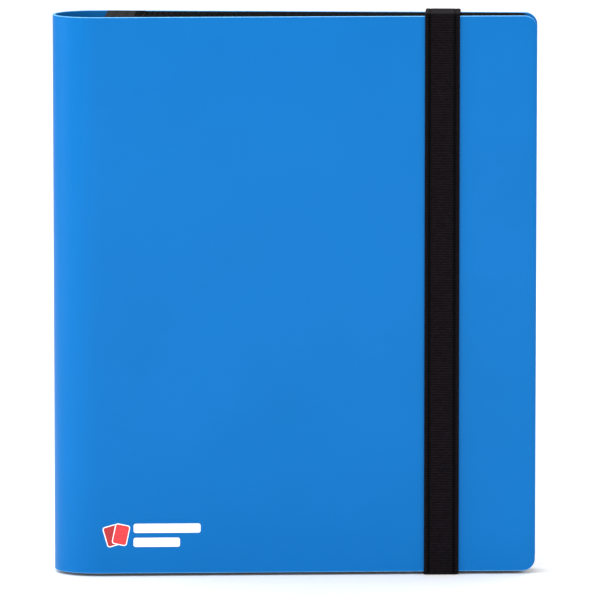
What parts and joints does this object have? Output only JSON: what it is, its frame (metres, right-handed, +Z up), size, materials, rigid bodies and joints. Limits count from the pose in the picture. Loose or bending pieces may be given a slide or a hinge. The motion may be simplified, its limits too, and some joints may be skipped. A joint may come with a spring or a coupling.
{
  "type": "trading card binder",
  "caption": "Flexible-cover binder with a rounded spine, side-loading card leaves and an elastic strap that holds it shut.",
  "frame": {"origin": "the middle of the closed binder's footprint, at the height of the strap's underside, which is the lowest point", "axes": "+X from the spine to the fore-edge, +Y from the front cover to the rear cover, +Z up along the spine"},
  "size_m": [0.1764, 0.0252, 0.2074],
  "materials": {
    "cover_blue": "satin translucent polypropylene sheet with a fine grain",
    "leaf_black": "black polypropylene embossed with a fine zig-zag mesh",
    "film_clear": "clear glossy film",
    "elastic_black": "ribbed woven elastic",
    "bar_metal": "plain crimped metal"
  },
  "bodies": {
    "rear_case": {"rear_cover": "cover_blue", "binding_strip": "leaf_black", "strap_tail_top": "elastic_black", "strap_tail_bottom": "elastic_black", "strap_end_bar_top": "bar_metal", "strap_end_bar_bottom": "bar_metal"},
    "spine_fold_1": {"spine_strip_1": "cover_blue"},
    "spine_fold_2": {"spine_strip_2": "cover_blue"},
    "spine_fold_3": {"spine_strip_3": "cover_blue"},
    "spine_fold_4": {"spine_strip_4": "cover_blue"},
    "spine_fold_5": {"spine_strip_5": "cover_blue"},
    "spine_fold_6": {"spine_strip_6": "cover_blue"},
    "front_case": {"front_cover": "cover_blue"},
    "leaf_01": {"leaf_01_backing": "leaf_black", "leaf_01_front_film": "film_clear", "leaf_01_rear_film": "film_clear"},
    "leaf_02": {"leaf_02_backing": "leaf_black", "leaf_02_front_film": "film_clear", "leaf_02_rear_film": "film_clear"},
    "leaf_03": {"leaf_03_backing": "leaf_black", "leaf_03_front_film": "film_clear", "leaf_03_rear_film": "film_clear"},
    "leaf_04": {"leaf_04_backing": "leaf_black", "leaf_04_front_film": "film_clear", "leaf_04_rear_film": "film_clear"},
    "leaf_05": {"leaf_05_backing": "leaf_black", "leaf_05_front_film": "film_clear", "leaf_05_rear_film": "film_clear"},
    "leaf_06": {"leaf_06_backing": "leaf_black", "leaf_06_front_film": "film_clear", "leaf_06_rear_film": "film_clear"},
    "leaf_07": {"leaf_07_backing": "leaf_black", "leaf_07_front_film": "film_clear", "leaf_07_rear_film": "film_clear"},
    "leaf_08": {"leaf_08_backing": "leaf_black", "leaf_08_front_film": "film_clear", "leaf_08_rear_film": "film_clear"},
    "leaf_09": {"leaf_09_backing": "leaf_black", "leaf_09_front_film": "film_clear", "leaf_09_rear_film": "film_clear"},
    "leaf_10": {"leaf_10_backing": "leaf_black", "leaf_10_front_film": "film_clear", "leaf_10_rear_film": "film_clear"},
    "strap": {"strap_front_run": "elastic_black"}
  },
  "joints": [
    {"name": "cover_opening", "type": "hinge", "parent": "rear_case", "child": "front_case", "pos_m": [-0.09393, -0.00147, 0.1037], "axis": [0, 0, -1], "range_deg": [0, 184.32]},
    {"name": "spine_crease_1", "type": "hinge", "parent": "rear_case", "child": "spine_fold_1", "pos_m": [-0.07076, 0.01089, 0.1037], "axis": [0, 0, -1], "range_deg": [0, 8.18]},
    {"name": "spine_crease_2", "type": "hinge", "parent": "spine_fold_1", "child": "spine_fold_2", "pos_m": [-0.07833, 0.0098, 0.1037], "axis": [0, 0, -1], "range_deg": [0, 22.83]},
    {"name": "spine_crease_3", "type": "hinge", "parent": "spine_fold_2", "child": "spine_fold_3", "pos_m": [-0.08484, 0.00588, 0.1037], "axis": [0, 0, -1], "range_deg": [0, 35.57]},
    {"name": "spine_crease_4", "type": "hinge", "parent": "spine_fold_3", "child": "spine_fold_4", "pos_m": [-0.08783, -0.00101, 0.1037], "axis": [0, 0, -1], "range_deg": [0, 45.27]},
    {"name": "spine_crease_5", "type": "hinge", "parent": "spine_fold_4", "child": "spine_fold_5", "pos_m": [-0.08505, -0.00795, 0.1037], "axis": [0, 0, -1], "range_deg": [0, 39.58]},
    {"name": "spine_crease_6", "type": "hinge", "parent": "spine_fold_5", "child": "spine_fold_6", "pos_m": [-0.07839, -0.01157, 0.1037], "axis": [0, 0, -1], "range_deg": [0, 24.55]},
    {"name": "leaf_10_turn", "type": "hinge", "parent": "rear_case", "child": "leaf_10", "pos_m": [-0.06886, 0.00778, 0.1037], "axis": [0, 0, -1], "range_deg": [0, 8]},
    {"name": "leaf_09_turn", "type": "hinge", "parent": "leaf_10", "child": "leaf_09", "pos_m": [-0.06886, 0.00577, 0.1037], "axis": [0, 0, -1], "range_deg": [0, 17]},
    {"name": "leaf_08_turn", "type": "hinge", "parent": "leaf_09", "child": "leaf_08", "pos_m": [-0.06886, 0.00376, 0.1037], "axis": [0, 0, -1], "range_deg": [0, 17]},
    {"name": "leaf_07_turn", "type": "hinge", "parent": "leaf_08", "child": "leaf_07", "pos_m": [-0.06886, 0.00175, 0.1037], "axis": [0, 0, -1], "range_deg": [0, 17]},
    {"name": "leaf_06_turn", "type": "hinge", "parent": "leaf_07", "child": "leaf_06", "pos_m": [-0.06886, -0.00026, 0.1037], "axis": [0, 0, -1], "range_deg": [0, 17]},
    {"name": "leaf_05_turn", "type": "hinge", "parent": "leaf_06", "child": "leaf_05", "pos_m": [-0.06886, -0.00227, 0.1037], "axis": [0, 0, -1], "range_deg": [0, 17]},
    {"name": "leaf_04_turn", "type": "hinge", "parent": "leaf_05", "child": "leaf_04", "pos_m": [-0.06886, -0.00428, 0.1037], "axis": [0, 0, -1], "range_deg": [0, 17]},
    {"name": "leaf_03_turn", "type": "hinge", "parent": "leaf_04", "child": "leaf_03", "pos_m": [-0.06886, -0.00629, 0.1037], "axis": [0, 0, -1], "range_deg": [0, 17]},
    {"name": "leaf_02_turn", "type": "hinge", "parent": "leaf_03", "child": "leaf_02", "pos_m": [-0.06886, -0.0083, 0.1037], "axis": [0, 0, -1], "range_deg": [0, 17]},
    {"name": "leaf_01_turn", "type": "hinge", "parent": "leaf_02", "child": "leaf_01", "pos_m": [-0.06886, -0.01031, 0.1037], "axis": [0, 0, -1], "range_deg": [0, 17]},
    {"name": "strap_release", "type": "hinge", "parent": "rear_case", "child": "strap", "pos_m": [0.05345, 0.00469, 0.1037], "axis": [0, 0, 1], "range_deg": [0, 175.68], "deforming": ["strap_front_run"]}
  ],
  "couplings": [
    {"joint": "spine_crease_1", "follows": "cover_opening", "ratio": 0.044388},
    {"joint": "spine_crease_2", "follows": "cover_opening", "ratio": 0.12388},
    {"joint": "spine_crease_3", "follows": "cover_opening", "ratio": 0.19295},
    {"joint": "spine_crease_4", "follows": "cover_opening", "ratio": 0.24561},
    {"joint": "spine_crease_5", "follows": "cover_opening", "ratio": 0.21471},
    {"joint": "spine_crease_6", "follows": "cover_opening", "ratio": 0.13321},
    {"joint": "leaf_10_turn", "follows": "cover_opening", "ratio": 0.043403},
    {"joint": "leaf_09_turn", "follows": "cover_opening", "ratio": 0.092232},
    {"joint": "leaf_08_turn", "follows": "cover_opening", "ratio": 0.092232},
    {"joint": "leaf_07_turn", "follows": "cover_opening", "ratio": 0.092232},
    {"joint": "leaf_06_turn", "follows": "cover_opening", "ratio": 0.092232},
    {"joint": "leaf_05_turn", "follows": "cover_opening", "ratio": 0.092232},
    {"joint": "leaf_04_turn", "follows": "cover_opening", "ratio": 0.092232},
    {"joint": "leaf_03_turn", "follows": "cover_opening", "ratio": 0.092232},
    {"joint": "leaf_02_turn", "follows": "cover_opening", "ratio": 0.092232},
    {"joint": "leaf_01_turn", "follows": "cover_opening", "ratio": 0.092232},
    {"joint": "strap_release", "follows": "cover_opening", "ratio": 0.95314}
  ]
}
